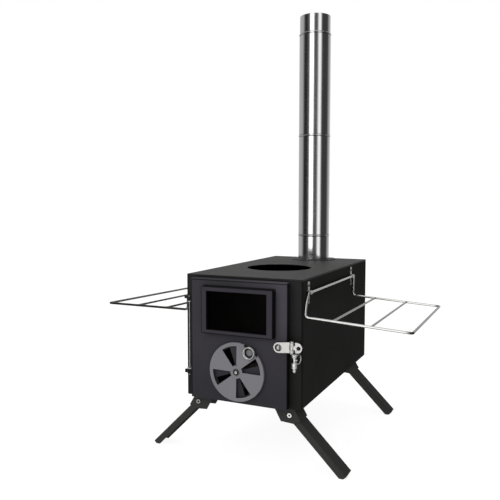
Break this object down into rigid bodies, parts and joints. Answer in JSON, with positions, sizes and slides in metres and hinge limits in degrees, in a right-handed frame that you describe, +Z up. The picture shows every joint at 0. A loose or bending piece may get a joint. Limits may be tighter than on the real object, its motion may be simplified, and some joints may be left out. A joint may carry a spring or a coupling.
{
  "type": "tent wood stove",
  "caption": "Long steel box wood stove on folding splayed legs, with a glazed door, round air damper, hasp latch, fold-over side racks and a sectional flue pipe.",
  "frame": {"origin": "on the floor under the middle of the overall box", "axes": "+Z up along the flue pipe, the door faces -Y, +X to the right seen from the front"},
  "size_m": [0.5338, 0.4074, 0.7918],
  "materials": {
    "casing_black": "matte black heat paint with a fine grain",
    "top_grey_black": "matte grey-black heat paint, dusty",
    "door_charcoal": "matte charcoal heat paint with a fine grain",
    "damper_grey": "satin mid-grey",
    "leg_black": "black powder coat, coarse grain",
    "bolt_black": "blackened steel, satin",
    "grate_steel": "heat-darkened steel",
    "glass": "dark ceramic glass, clear and glossy",
    "rope_seal": "braided glass-fibre rope",
    "wire_steel": "bright drawn wire",
    "pipe_steel": "bright rolled stainless sheet",
    "stainless": "bright stainless, lightly brushed"
  },
  "bodies": {
    "casing": {"casing_shell": "casing_black", "front_frame": "casing_black", "back_panel": "casing_black", "top_plate": "top_grey_black", "fire_grate": "grate_steel", "hinge_rod": "stainless", "hinge_washers": "stainless", "casing_hinge_lugs": "casing_black", "catch_bracket": "bolt_black", "catch_stud": "bolt_black", "rack_brackets": "stainless", "rack_rivets": "stainless", "leg_bracket_front_left": "leg_black", "leg_bracket_front_right": "leg_black", "leg_bracket_rear_left": "leg_black", "leg_bracket_rear_right": "leg_black", "bracket_rivets": "leg_black", "leg_bolts": "stainless", "leg_nuts": "bolt_black", "flue_collar": "pipe_steel", "flue_screws": "stainless"},
    "door": {"door_pan": "door_charcoal", "window_frame": "door_charcoal", "window_glass": "glass", "window_gasket": "rope_seal", "window_screws": "stainless", "door_gasket": "rope_seal", "damper_bolt": "stainless", "damper_nut": "stainless", "door_hinge_ears": "door_charcoal", "latch_strap": "stainless", "latch_bolt": "stainless", "latch_spacer": "stainless", "latch_nut": "stainless", "latch_pin": "stainless"},
    "damper": {"damper_disc": "damper_grey", "coil_knob": "stainless"},
    "hasp": {"latch_hasp": "stainless"},
    "lock_ring": {"snap_ring": "stainless"},
    "lock_pin": {"snap_pin": "stainless"},
    "left_rack": {"rack_left": "wire_steel"},
    "right_rack": {"rack_right": "wire_steel"},
    "front_left_leg": {"leg_front_left": "leg_black"},
    "front_right_leg": {"leg_front_right": "leg_black"},
    "rear_left_leg": {"leg_rear_left": "leg_black"},
    "rear_right_leg": {"leg_rear_right": "leg_black"},
    "lower_pipe": {"pipe_lower": "pipe_steel"},
    "upper_pipe": {"pipe_upper": "pipe_steel"}
  },
  "joints": [
    {"name": "door_hinge", "type": "hinge", "parent": "casing", "child": "door", "pos_m": [-0.0927, -0.18227, 0.197], "axis": [0, 0, -1], "range_deg": [0, 120]},
    {"name": "damper_turn", "type": "hinge", "parent": "door", "child": "damper", "pos_m": [-0.0025, -0.19228, 0.15], "axis": [0, 1, 0], "continuous": true},
    {"name": "hasp_hinge", "type": "hinge", "parent": "door", "child": "hasp", "pos_m": [0.0908, -0.19253, 0.198], "axis": [0, 0, -1], "range_deg": [0, 120]},
    {"name": "ring_swing", "type": "hinge", "parent": "casing", "child": "lock_ring", "pos_m": [0.1, -0.18927, 0.188], "axis": [0, 1, 0], "range_deg": [-15, 15]},
    {"name": "pin_swivel", "type": "hinge", "parent": "lock_ring", "child": "lock_pin", "pos_m": [0.09819, -0.19604, 0.181], "axis": [0, 0, 1], "range_deg": [-20, 20]},
    {"name": "left_rack_fold", "type": "hinge", "parent": "casing", "child": "left_rack", "pos_m": [-0.105, -0.07628, 0.2776], "axis": [0, 1, 0], "range_deg": [0, 182]},
    {"name": "right_rack_fold", "type": "hinge", "parent": "casing", "child": "right_rack", "pos_m": [0.105, -0.07628, 0.2776], "axis": [0, -1, 0], "range_deg": [0, 170]},
    {"name": "front_right_leg_fold", "type": "hinge", "parent": "casing", "child": "front_right_leg", "pos_m": [0.0811, -0.15827, 0.0872], "axis": [0, 1, 0], "range_deg": [0, 118]},
    {"name": "rear_right_leg_fold", "type": "hinge", "parent": "casing", "child": "rear_right_leg", "pos_m": [0.0811, 0.15473, 0.0872], "axis": [0, 1, 0], "range_deg": [0, 118]},
    {"name": "front_left_leg_fold", "type": "hinge", "parent": "casing", "child": "front_left_leg", "pos_m": [-0.0811, -0.15827, 0.0872], "axis": [0, -1, 0], "range_deg": [0, 135]},
    {"name": "rear_left_leg_fold", "type": "hinge", "parent": "casing", "child": "rear_left_leg", "pos_m": [-0.0811, 0.15473, 0.0872], "axis": [0, -1, 0], "range_deg": [0, 135]},
    {"name": "lower_pipe_pull", "type": "slide", "parent": "casing", "child": "lower_pipe", "axis": [0, 0, 1], "range_m": [0, 0.04]},
    {"name": "upper_pipe_pull", "type": "slide", "parent": "lower_pipe", "child": "upper_pipe", "axis": [0, 0, 1], "range_m": [0, 0.04]}
  ]
}
